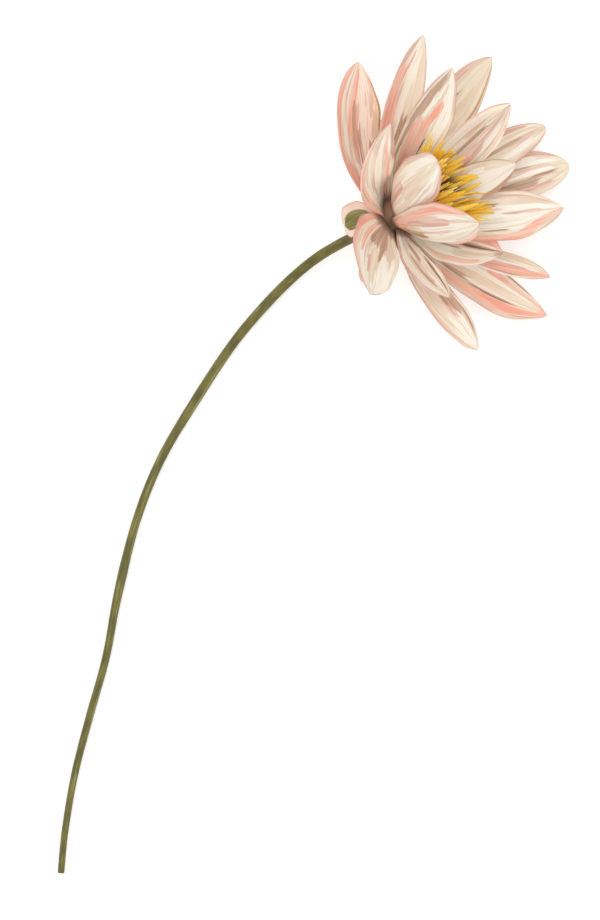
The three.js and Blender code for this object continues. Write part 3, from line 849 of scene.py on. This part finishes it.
# %% Petal skin
def petal_skin():
    f = Finish("petal_skin", roughness=0.65, gloss=0.2, glow_through=0.1)
    place = f.attribute("stroke", vector=True)
    broad = f.streaks(place, 2.8, 30, 7.3, detail=1.5, twist=0.5)
    fine = f.streaks(place, 1.3, 24, 3.1, detail=1.5, twist=0.4)
    second = f.streaks(place, 2.1, 26, 11.9, detail=1.5, twist=0.6)
    blotch = f.streaks(place, 7, 20, 5.7, detail=1.0)
    hair = f.streaks(place, 0.9, 34, 17.3, detail=1.0, twist=0.5)
    fray = f.math("ADD", f.math("MULTIPLY", fine, 0.5), f.math("MULTIPLY", second, 0.5))
    fray = f.math("SUBTRACT", fray, 0.5)

    def frayed(mask, reach):
        """The mask of one colour's bands, its soft borders broken up by the streaks."""
        return f.math("ADD", f.attribute(mask), f.math("MULTIPLY", fray, reach))

    colour = f.mix(f.soft(blotch, 0.42, 0.6), CREAM, WARM_GREY)
    blush_at = f.math("ADD", second, f.math("MULTIPLY", blotch, 0.4))
    colour = f.mix(f.soft(blush_at, 0.72, 0.82, 0, 0.7), colour, BLUSH)
    # Paler streaks, partly painted highlight.
    pale_at = f.math("ADD", broad, f.math("MULTIPLY", f.attribute("pale"), 0.19))
    colour = f.mix(f.soft(pale_at, 0.54, 0.61, 0, 0.95), colour, PALE_HIGHLIGHT)
    colour = f.mix(f.soft(hair, 0.6, 0.7, 0, 0.45), colour, LIGHT_BROWN)

    beige = f.mix(f.soft(second, 0.4, 0.62), BEIGE, CREAM)
    colour = f.mix(f.soft(frayed("beige", 1.5), 0.4, 0.66, 0, 0.88), colour, beige)
    colour = f.mix(f.soft(fine, 0.6, 0.7, 0, 0.55), colour, PALE_HIGHLIGHT)
    rose = f.mix(f.soft(fine, 0.44, 0.58), ROSE, BLUSH)
    colour = f.mix(f.soft(frayed("rose", 1.8), 0.42, 0.66, 0, 0.9), colour, rose)
    salmon = f.mix(f.soft(second, 0.38, 0.58), SALMON, LIGHT_SALMON)
    colour = f.mix(f.soft(frayed("salmon", 1.8), 0.42, 0.62, 0, 0.95), colour, salmon)
    # Painted shade in brown, where petals fold, overlap and narrow to the root.
    brown = f.mix(f.soft(fine, 0.42, 0.6), SHADE_BROWN, LIGHT_BROWN)
    colour = f.mix(f.soft(frayed("brown", 2.6), 0.45, 0.72, 0, 0.88), colour, brown)
    # Ochre lines, and dark lines of painted shadow along folds and overlaps.
    for mask, tint in (("ochre", OCHRE_LINE), ("dark", SHADOW_LINE)):
        colour = f.mix(f.soft(frayed(mask, 2.2), 0.45, 0.75, 0, 0.8), colour, tint)

    wobble = f.soft(second, 0.35, 0.65, 0.4, 1.6)
    at_margin = f.soft(f.attribute("to_edge"), 0.0, wobble, 0.8, 0)
    at_margin = f.math("MULTIPLY", at_margin, f.soft(blotch, 0.38, 0.6, 0.3, 1))
    colour = f.mix(at_margin, colour, MARGIN_ROSE)
    _, along, _ = f.parts(place)
    # Painted shade at the petal's root.
    colour = f.mix(f.soft(along, 0.5, 5.0, 0.7, 0), colour, ROOT_SHADOW)
    # A painted shade wash deepens the petals that face the light more.
    colour = f.mix(f.attribute("wash"), colour, SHADE_BROWN)
    # A painted glow on a few petals lifts their shaded parts.
    f.feed(f.shader.inputs["Emission Color"], colour)
    f.feed(f.shader.inputs["Emission Strength"], f.attribute("shine"))
    return f.finish(colour, height=fine, depth=0.0003, strength=0.3)


petal_material = petal_skin()
print("petal skin:", len(petal_material.node_tree.nodes), "nodes")

# %% [markdown]
# ## Sepal skin
#
# A sepal is the bud's outer cover: green and tough on its back, pale like a petal inside. The
# wall modifier gives the faces that it adds the next material slot, so one mesh carries both.

# %% Sepal skin
OLIVE = rgb("726A35")
LIGHT_OLIVE = rgb("8F8854")
SEPAL_RIM = rgb("EBD2C2")


def sepal_back():
    f = Finish("sepal_back", roughness=0.6, gloss=0.3)
    place = f.attribute("stroke", vector=True)
    streaks = f.streaks(place, 1.3, 18, 4.1, detail=3.0, twist=0.4)
    colour = f.mix(f.soft(streaks, 0.4, 0.62), OLIVE, LIGHT_OLIVE)
    rim = f.math("ADD", f.attribute("to_edge"), f.math("MULTIPLY", streaks, 1.6))
    colour = f.mix(f.soft(rim, 4.0, 4.9, 1, 0), colour, SEPAL_RIM)
    colour = f.mix(f.soft(rim, 1.0, 1.5, 0.9, 0), colour, ROSE)
    return f.finish(colour, height=streaks, depth=0.0003, strength=0.4)


sepal_material = sepal_back()
print("sepal back:", len(sepal_material.node_tree.nodes), "nodes")

# %% [markdown]
# ## Laying the petals round the head
#
# Each blade is made upright at the origin, pushed out to its ring, turned to its place round the
# head, and carried there by the head's matrix. Two petals in front get fuller roots than the solid
# model's, which keeps its roots apart, so that they close over the receptacle.

# %% Petals and sepals
FULLER_ROOTS = {"petal_second_1": dict(root_width=13), "petal_inner_1": dict(root_width=14)}
placed = 0
for ring_name, ring in RINGS.items():
    for number, facts in enumerate(ring["blades"], start=1):
        is_sepal = ring_name == "sepal"
        node = f"sepal_{number}" if is_sepal else f"petal_{ring_name}_{number}"
        outwards = Matrix.Translation((ring["radius"], 0, ring["height"] + facts.get("lift", 0)))
        carried = HEAD @ Matrix.Rotation(math.radians(facts["round"]), 4, "Z") @ outwards
        skins = [petal_material, sepal_material] if is_sepal else [petal_material]
        placed += 1
        facts = {**facts, **FULLER_ROOTS.get(node, {})}
        piece = make_blade(node + "_skin", node, Blade(**facts), carried, skins, placed,
                           back_slot=1 if is_sepal else 0)
print("blades placed:", placed)

# %% [markdown]
# ## The stem's line
#
# The stem leaves the receptacle straight back along the head's axis, drops to the table and lies
# along it in the curve it grew in. A spline through a few points gives that line. It weighs each
# stretch by the square root of its length, so it never loops or swings wide between close points.
# The solid stem lies on a flat of its twelve sides, so this one's middle lies as high as that.

# %% The stem's line
STEM_BACK = (12, 22)
STEM_FALL = ((4, 91.5, 12.6), (-8, 82.4, 6.6))
STEM_LIES = (
    (-22, 68.5), (-35.1, 52.9), (-53.1, 25.9), (-68.9, -1.1), (-79.7, -28.1), (-88.7, -64.1),
    (-93.8, -91.1), (-101.3, -118.1), (-108.2, -145.1), (-112.7, -172.1), (-114.3, -189.2),
)
STEM_RADIUS_HEAD = 2.4
STEM_RADIUS_CUT = 1.5
SOLID_SIDES = 12
REST_SHARE = math.cos(math.pi / SOLID_SIDES)
SAMPLES_PER_STRETCH = 40


def stem_radius(share):
    return STEM_RADIUS_HEAD + (STEM_RADIUS_CUT - STEM_RADIUS_HEAD) * share


def spline_between(p0, p1, p2, p3, weight):
    """A point between p1 and p2 on a centripetal Catmull-Rom spline."""
    gap0, gap1, gap2 = ((b - a).length ** 0.5 for a, b in ((p0, p1), (p1, p2), (p2, p3)))
    leaves = ((p1 - p0) / gap0 - (p2 - p0) / (gap0 + gap1) + (p2 - p1) / gap1) * gap1
    arrives = ((p2 - p1) / gap1 - (p3 - p1) / (gap1 + gap2) + (p3 - p2) / gap2) * gap1
    w = weight
    return (
        p1 * (2 * w**3 - 3 * w**2 + 1)
        + leaves * (w**3 - 2 * w**2 + w)
        + p2 * (3 * w**2 - 2 * w**3)
        + arrives * (w**3 - w**2)
    )


def spline_points():
    """Close points along the stem, from behind the head to the cut end, in mm."""
    last = len(STEM_LIES) - 1
    points = [HEAD_AT - face_way * back for back in STEM_BACK]
    points += [Vector(p) for p in STEM_FALL]
    for i, (x, y) in enumerate(STEM_LIES):
        points.append(Vector((x, y, stem_radius(i / last) * REST_SHARE)))
    points = [2 * points[0] - points[1]] + points + [2 * points[-1] - points[-2]]
    dense = []
    for i in range(1, len(points) - 2):
        for k in range(SAMPLES_PER_STRETCH):
            dense.append(spline_between(*points[i - 1:i + 3], k / SAMPLES_PER_STRETCH))
    return dense + [points[-2]]


stem_line = spline_points()
print("the stem's line:", len(stem_line), "points")

# %% [markdown]
# ## Even steps and a soft landing
#
# The spline's samples lie close together on its short stretches and far apart on its long ones. A
# tube wants its rings at even steps, so the line is walked once more with steps of one length.
# Where it comes down to the table its height is evened out, so that it settles without a corner.

# %% Even steps and a soft landing
PATH_RINGS = 330
SETTLE_REACH = 13
SETTLE_PASSES = 2


def evenly_spaced(line, steps):
    """The line's points again, at even steps, and its length."""
    reached = [0.0]
    for a, b in zip(line, line[1:]):
        reached.append(reached[-1] + (b - a).length)
    even = []
    k = 0
    for step in range(steps + 1):
        wanted = reached[-1] * step / steps
        while k < len(line) - 2 and reached[k + 1] < wanted:
            k += 1
        share = (wanted - reached[k]) / (reached[k + 1] - reached[k])
        even.append(line[k].lerp(line[k + 1], share))
    return even, reached[-1]


def settle(points):
    """Keeps the path above the table and evens its height with its neighbours' on both sides."""
    heights = [max(p.z, stem_radius(i / PATH_RINGS) * REST_SHARE) for i, p in enumerate(points)]
    for i, point in enumerate(points):
        reach = min(i, PATH_RINGS - i, SETTLE_REACH)
        near = heights[i - reach:i + reach + 1]
        point.z = sum(near) / len(near)


path, stem_length = evenly_spaced(stem_line, PATH_RINGS)
for _ in range(SETTLE_PASSES):
    settle(path)
print("stem length", round(stem_length), "mm")

# %% [markdown]
# ## The stem's rings
#
# The stem and the receptacle that it swells into grow as one piece, so they are one tube: a row of
# rings, each with its centre, its way along and its radius. The first rings close the top of the
# receptacle, the next follow its turned shape and then the path, and the last shrink to the middle
# of the cut face. At a few knots the stem is thicker by a share, and NODES_AT says where.

# %% The stem's rings
RECEPTACLE = (
    (6.6, 3.6), (5.6, 5.2), (4, 6.3), (2, 6.9), (-1, 7.1), (-3, 7), (-5.5, 6), (-8.5, 3.8),
)
TOP_ROWS = 4
ROWS_PER_STRETCH = 4
CUT_ROWS = 14
NODES_AT = ((0.34, 0.05), (0.6, 0.13), (0.80, 0.04))
NODE_REACH = 0.04


def stem_rings():
    """Centre, way along, radius and share of the cut face for each ring, from the top down."""
    rings = []
    top_height, top_radius = RECEPTACLE[0]
    back = -face_way
    for i in range(TOP_ROWS):
        rings.append((HEAD_AT + face_way * top_height, back, top_radius * i / TOP_ROWS, 0))
    stretches = list(zip(RECEPTACLE, RECEPTACLE[1:] + ((-STEM_BACK[0], STEM_RADIUS_HEAD),)))
    for (h0, r0), (h1, r1) in stretches:
        for k in range(ROWS_PER_STRETCH):
            share = k / ROWS_PER_STRETCH
            centre = HEAD_AT + face_way * (h0 + (h1 - h0) * share)
            rings.append((centre, back, r0 + (r1 - r0) * share, 0))
    for i, centre in enumerate(path):
        along = (path[min(i + 1, PATH_RINGS)] - path[max(i - 1, 0)]).normalized()
        share = i / PATH_RINGS
        radius = stem_radius(share)
        for at, rise in NODES_AT:
            radius *= 1 + rise * math.exp(-(((share - at) / NODE_REACH) ** 2))
        rings.append((centre, along, radius, 0))
    centre, along, radius, _ = rings[-1]
    for i in range(1, CUT_ROWS + 1):
        rings.append((centre, along, radius * (1 - i / CUT_ROWS), i / CUT_ROWS))
    return rings


print("the stem's rings:", len(stem_rings()))

# %% [markdown]
# ## The cut end
#
# A water lily breathes through a few wide canals in its stem, and a cut shows them as holes. Soft
# pits pressed into the cut face show them too, and leave the skin whole.

# %% The cut end
CANALS = 5
CANAL_AT = 0.56
CANAL_FLOOR = 0.114
CANAL_LIP = 0.247
CANAL_DEPTH = 0.9


def canal_pit(share_out, angle):
    """How deep the cut face is pressed in at this place, in mm."""
    here = Vector((math.cos(angle), math.sin(angle))) * share_out
    depth = 0
    for i in range(CANALS):
        turn = 2 * math.pi * i / CANALS
        canal = Vector((math.cos(turn), math.sin(turn))) * CANAL_AT
        depth = max(depth, 1 - smooth((here - canal).length, CANAL_FLOOR, CANAL_LIP))
    return CANAL_DEPTH * depth


print("a canal's pit:", canal_pit(CANAL_AT, 0), "mm deep")

# %% [markdown]
# ## The stem's mesh
#
# A tube is a flat grid rolled up: one side of the grid runs round the stem and the other along it,
# from ring to ring. A little noise in the radius takes the machined look away, because nothing
# that grows is quite round. Welding the seam and the two poles closes the skin.

# %% The stem's mesh
STEM_SIDES = 28
STEM_UNEVEN = 0.025
UNEVEN_ROUND = 1.3
UNEVEN_ALONG = 0.11
HEAD_COLOUR_STRETCHES = 14
WELD = 0.000002


def make_stem(materials):
    rings = stem_rings()
    bm = bmesh.new()
    bmesh.ops.create_grid(bm, x_segments=STEM_SIDES, y_segments=len(rings) - 1, size=1)
    stroke = bm.verts.layers.float_vector.new("stroke")
    cut = bm.verts.layers.float.new("cut")
    on_head = bm.verts.layers.float.new("on_head")
    stem_coloured = TOP_ROWS + HEAD_COLOUR_STRETCHES * ROWS_PER_STRETCH
    for v in bm.verts:
        number = round((v.co.y + 1) / 2 * (len(rings) - 1))
        angle = math.pi * (v.co.x + 1)
        x, y = math.cos(angle), math.sin(angle)
        centre, along, radius, cut_share = rings[number]
        side = Vector((-along.y, along.x, 0)).normalized()
        out = side * x + along.cross(side) * y
        wander = noise.noise(Vector((x * UNEVEN_ROUND, y * UNEVEN_ROUND, number * UNEVEN_ALONG)))
        v[stroke] = Vector((x, y, number * stem_length / PATH_RINGS))
        v[cut] = 1.0 if cut_share > 0 else 0.0
        v[on_head] = 1 - smooth(number, TOP_ROWS, stem_coloured)
        pressed = canal_pit(1 - cut_share, angle) if cut_share > 0 else 0
        v.co = centre + out * radius * (1 + STEM_UNEVEN * wander) - along * pressed
    bmesh.ops.transform(bm, matrix=TO_METRES, verts=bm.verts)
    bmesh.ops.remove_doubles(bm, verts=bm.verts, dist=WELD)
    bmesh.ops.recalc_face_normals(bm, faces=bm.faces)
    for v in bm.verts:
        v.co.z = max(v.co.z, TABLE_CLEAR)
    piece = finished("stem_skin", bm, materials)
    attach(piece, "root")
    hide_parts("stem")
    return piece


print("the stem's grid:", STEM_SIDES, "sides")

# %% [markdown]
# ## Stem skin
#
# A lily's stem is smooth and olive, a little browner in the shade, with pale streaks along it. The
# streaks follow the tube because the finish reads the place round and along it from the mesh. The
# cut face is pale and moist. The receptacle, which the stem swells into, is painted a shaded tan
# with a dark painted shadow where the petals meet, so that it reads as a crease.

# %% Stem skin
STEM_OLIVE = rgb("6C6628")
STEM_DARK = rgb("565020")
STEM_LIGHT = rgb("8E894C")
CUT_PALE = rgb("CDC39A")
# The receptacle's tan and its dark are painted shade, so that it reads as a shadowed crease.
SHADED_HEAD_TAN = rgb("94705A")
HEAD_SHADOW = rgb("5A4636")


def stem_skin():
    f = Finish("stem_skin", roughness=0.5, gloss=0.4, glow_through=0.05)
    place = f.attribute("stroke", vector=True)
    streaks = f.noise(f.stretched(place, 2.2, 2.2, 1 / 22), detail=3.0, twist=0.5)
    patches = f.noise(f.stretched(place, 0.6, 0.6, 1 / 9), detail=2.0)
    colour = f.mix(f.soft(patches, 0.35, 0.65), STEM_OLIVE, STEM_DARK)
    colour = f.mix(f.soft(streaks, 0.54, 0.66, 0, 0.8), colour, STEM_LIGHT)
    colour = f.mix(f.soft(f.attribute("cut"), 0.5, 1.0), colour, CUT_PALE)
    round_stem, _, _ = f.parts(place)
    # Painted shadow on the receptacle, deeper towards one side.
    head_shadow_at = f.math("ADD", round_stem, f.math("MULTIPLY", streaks, 1.5))
    head = f.mix(f.soft(head_shadow_at, 0.35, 1.1), SHADED_HEAD_TAN, HEAD_SHADOW)
    colour = f.mix(f.attribute("on_head"), colour, head)
    return f.finish(colour, height=streaks, depth=0.0003, strength=0.5)


stem_piece = make_stem([stem_skin()])
print("stem skin:", len(stem_piece.data.polygons), "faces")

# %% [markdown]
# ## One stamen
#
# A water lily's stamens are flat golden ribbons, broad below and drawn to a point, that bow
# outwards in whorls round the pistil. Each is a tiny blade on the petals' own formula. The crown is
# lopsided: longer to one side, shorter below, and its side ribbons are turned to show their faces.
# Every draw comes from one seeded source, so the flower is the same each time.

# %% One stamen
STAMEN_SEED = 20
WHORLS = (
    dict(count=42, radius=6.1, height=8.2, open=(22, 27), length=36.5, width=3.3),
    dict(count=32, radius=5.7, height=8.5, open=(16, 21), length=34.5, width=3.2),
    dict(count=18, radius=5.3, height=8.7, open=(11, 11), length=27.5, width=2.7),
    dict(count=14, radius=5, height=8.8, open=(22, 8), length=17, width=2.2),
)
UPPER_STAMENS_UPRIGHT = 0.15
LONGER_TO_ONE_SIDE = 0.08
SHORTER_BELOW = 0.14
SIDE_STAMENS_TURNED = 50
STAMEN_FORM = dict(root_width=1.4, cup=0.7, widest=0.66, point=0.85)
PLACE_VARIES = 0.3
LEAN_VARIES = (4, 17)
LENGTH_VARIES = (-0.12, 0.07)
WIDTH_VARIES = (0.8, 1.15)
SWAY_VARIES = 60
ROLL_VARIES = 25


def drawn_stamen(draw, whorl, number):
    """One stamen's place round the head, its blade, and its tone from 0 to 1."""
    angle = (number + draw.uniform(-PLACE_VARIES, PLACE_VARIES)) / whorl["count"] * 2 * math.pi
    upright = 1 - UPPER_STAMENS_UPRIGHT * max(math.sin(angle), 0)
    lean = [a * upright + draw.uniform(-b, b) for a, b in zip(whorl["open"], LEAN_VARIES)]
    reach = 1 - LONGER_TO_ONE_SIDE * math.cos(angle) - SHORTER_BELOW * max(-math.sin(angle), 0)
    length = whorl["length"] * (reach + draw.uniform(*LENGTH_VARIES))
    width = whorl["width"] * draw.uniform(*WIDTH_VARIES)
    sway = draw.uniform(-SWAY_VARIES, SWAY_VARIES)
    roll = SIDE_STAMENS_TURNED * math.cos(angle) + draw.uniform(-ROLL_VARIES, ROLL_VARIES)
    stamen = Blade(open=lean, length=length, width=width, sway=sway, roll=roll, **STAMEN_FORM)
    return angle, stamen, draw.random()


first_stamen = drawn_stamen(random.Random(STAMEN_SEED), WHORLS[0], 0)[1]
print("the first stamen:", round(first_stamen.length, 1), "mm long")

# %% [markdown]
# ## The crown of stamens
#
# A hundred ribbons would be a long list of objects, and they never move apart, so all of them
# share one mesh. Each is a small grid with few faces, moved on to its blade and carried to its
# place in the whorl. Its wall thins towards the tip.

# %% The crown of stamens
STAMEN_COLUMNS = 4
STAMEN_ROWS = 14
STAMEN_WALL = 0.5
STAMEN_EDGE_SHARE = 0.3
THINS_TO_TIP = 0.6


def make_stamens(materials):
    draw = random.Random(STAMEN_SEED)
    bm = bmesh.new()
    stroke = bm.verts.layers.float_vector.new("stroke")
    tone = bm.verts.layers.float.new("tone")
    below = bm.verts.layers.float.new("below")
    fleshy = bm.verts.layers.float.new("fleshy_share")
    places = [(whorl, number) for whorl in WHORLS for number in range(whorl["count"])]
    for made, (whorl, number) in enumerate(places, start=1):
        angle, stamen, shade = drawn_stamen(draw, whorl, number)
        grid = bmesh.ops.create_grid(bm, x_segments=STAMEN_COLUMNS, y_segments=STAMEN_ROWS, size=1)
        carried = Matrix.Rotation(angle, 4, "Z")
        carried @= Matrix.Translation((whorl["radius"], 0, whorl["height"]))
        for v in grid["verts"]:
            q = v.co.x
            t = (v.co.y + 1) / 2
            v[stroke] = Vector((q, t, made))
            v[tone] = shade
            v[below] = max(-math.sin(angle), 0)
            v[fleshy] = 1 - THINS_TO_TIP * t
            v.co = carried @ stamen.point_at(q, t)
    bmesh.ops.transform(bm, matrix=HEAD, verts=bm.verts)
    piece = finished("stamens_skin", bm, materials)
    give_wall(piece, STAMEN_WALL, STAMEN_EDGE_SHARE)
    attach(piece, "root")
    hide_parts("stamens")


print("stamens to make:", sum(whorl["count"] for whorl in WHORLS))

# %% [markdown]
# ## The collar
#
# The stamens grow from a low ring round the pistil. A ring is a profile spun round an axis, and a
# profile is a few points of radius and height. Spinning doubles the seam, which is welded again.

# %% The collar
COLLAR = ((4.3, 7.2), (6.1, 7.2), (6.8, 8.4), (6.6, 9.6), (4.3, 9.6), (4.3, 7.2))
COLLAR_STEPS = 48
SPUN_WELD = 0.001


def spun(profile, steps):
    """A profile of radius and height spun round the head's axis, closed, normals out."""
    bm = bmesh.new()
    verts = [bm.verts.new((r, 0, z)) for r, z in profile]
    edges = [bm.edges.new(pair) for pair in zip(verts, verts[1:])]
    bmesh.ops.spin(bm, geom=verts + edges, cent=(0, 0, 0), axis=(0, 0, 1), dvec=(0, 0, 0),
                   angle=2 * math.pi, steps=steps, use_merge=True, use_normal_flip=False,
                   use_duplicate=False)
    bmesh.ops.remove_doubles(bm, verts=bm.verts, dist=SPUN_WELD)
    bmesh.ops.recalc_face_normals(bm, faces=bm.faces)
    return bm


def make_collar(materials):
    bm = spun(COLLAR, COLLAR_STEPS)
    bmesh.ops.transform(bm, matrix=HEAD, verts=bm.verts)
    piece = finished("stamen_collar", bm, materials)
    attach(piece, "root")
    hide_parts("stamens")


print("the collar's profile:", len(COLLAR), "points")

# %% [markdown]
# ## Stamen skin
#
# Gold, with every ribbon a little lighter or darker than its neighbour, painted dark brown at the
# foot as shade, where little light comes, and bright at the tip. Those on the lower side keep this
# painted shade for longer, which gives the crown its dark heart. The collar is painted as dark as
# their shaded feet.

# %% Stamen skin
GOLD = rgb("FCD044")
LIGHT_GOLD = rgb("FFE583")
OCHRE = rgb("DCA636")
# The feet's painted shade, used also on the collar and in the pistil.
FOOT_SHADE = rgb("573A18")
COLLAR_ROUGHNESS = 0.7


def stamen_skin():
    f = Finish("stamen_skin", roughness=0.6, gloss=0.25, glow_through=0.08)
    place = f.attribute("stroke", vector=True)
    tone = f.attribute("tone")
    across, along, _ = f.parts(place)
    streak = f.noise(f.stretched(place, 1.5, 1.6, 3.7), detail=2.0)
    colour = f.mix(f.soft(tone, 0.0, 0.25), OCHRE, GOLD)
    colour = f.mix(f.soft(f.math("ADD", tone, streak), 1.0, 1.2, 0, 0.9), colour, LIGHT_GOLD)
    edge = f.math("ABSOLUTE", across)
    colour = f.mix(f.soft(edge, 0.65, 1.0, 0, 0.6), colour, OCHRE)
    colour = f.mix(f.soft(streak, 0.58, 0.68, 0, 0.5), colour, OCHRE)
    # Painted shade at the feet, reaching further up on the lower side.
    hidden = f.math("MULTIPLY", f.attribute("below"), 0.36)
    bright_from = f.math("ADD", hidden, 0.24)
    bright_at = f.math("ADD", hidden, 0.5)
    colour = f.mix(f.soft(along, bright_from, bright_at, 0.96, 0), colour, FOOT_SHADE)
    return f.finish(colour, height=streak, depth=0.0001, strength=0.3)


stamen_material = stamen_skin()
make_stamens([stamen_material])
make_collar([plain_material("collar_brown", FOOT_SHADE[:3], COLLAR_ROUGHNESS)])
print("crown skin:", len(stamen_material.node_tree.nodes), "nodes")

# %% [markdown]
# ## Pistil skin
#
# The pistil stands deep between the stamens, so it is painted dark brown as shade, with finer and
# coarser specks. Its rays are ochre, and the mesh says where they are.

# %% Pistil skin
# Painted shade for the pistil, deep among the stamens.
PISTIL_SHADE = rgb("3E2F1A")


def pistil_skin():
    f = Finish("pistil_skin", roughness=0.6, gloss=0.3)
    speck = f.noise(f.stretched(f.attribute("stroke", vector=True), 1.2, 1.2, 1.2), detail=3.0)
    colour = f.mix(f.soft(speck, 0.4, 0.65), PISTIL_SHADE, FOOT_SHADE)
    colour = f.mix(f.attribute("on_ray"), colour, OCHRE)
    return f.finish(colour, height=speck, depth=0.0002, strength=0.4)


pistil_material = pistil_skin()
print("pistil skin:", len(pistil_material.node_tree.nodes), "nodes")

# %% [markdown]
# ## The pistil
#
# The ovary is a cup, and on it lies the stigma, a disc with raised rays. The cup is spun from its
# profile, and then each point of the disc is lifted by a cosine of its angle, one crest a ray.

# %% The pistil
OVARY = ((0, 7), (3.6, 7), (3.7, 9), (4, 13), (4.5, 16), (4.8, 17.4), (4.4, 18.4), (3.6, 18.1),
         (2.8, 17.6), (1.4, 17.2), (0, 17))
RAYS = 14
STEPS_PER_RAY = 8
RAY_RISE = 0.9
RAY_STARTS = (0.6, 1.6)
OVARY_SHOULDER = 16.5


def make_pistil(materials):
    bm = spun(OVARY, RAYS * STEPS_PER_RAY)
    stroke = bm.verts.layers.float_vector.new("stroke")
    on_ray = bm.verts.layers.float.new("on_ray")
    for v in bm.verts:
        v[stroke] = v.co
        out = smooth(math.hypot(v.co.x, v.co.y), *RAY_STARTS)
        crest = max(math.cos(RAYS * math.atan2(v.co.y, v.co.x)), 0) * out
        if v.co.z > OVARY_SHOULDER:
            v[on_ray] = crest
            v.co.z += crest * RAY_RISE
    bmesh.ops.transform(bm, matrix=HEAD, verts=bm.verts)
    piece = finished("pistil_skin", bm, materials)
    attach(piece, "root")
    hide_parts("pistil")
    return piece


pistil_piece = make_pistil([pistil_material])
print("pistil:", len(pistil_piece.data.polygons), "faces")
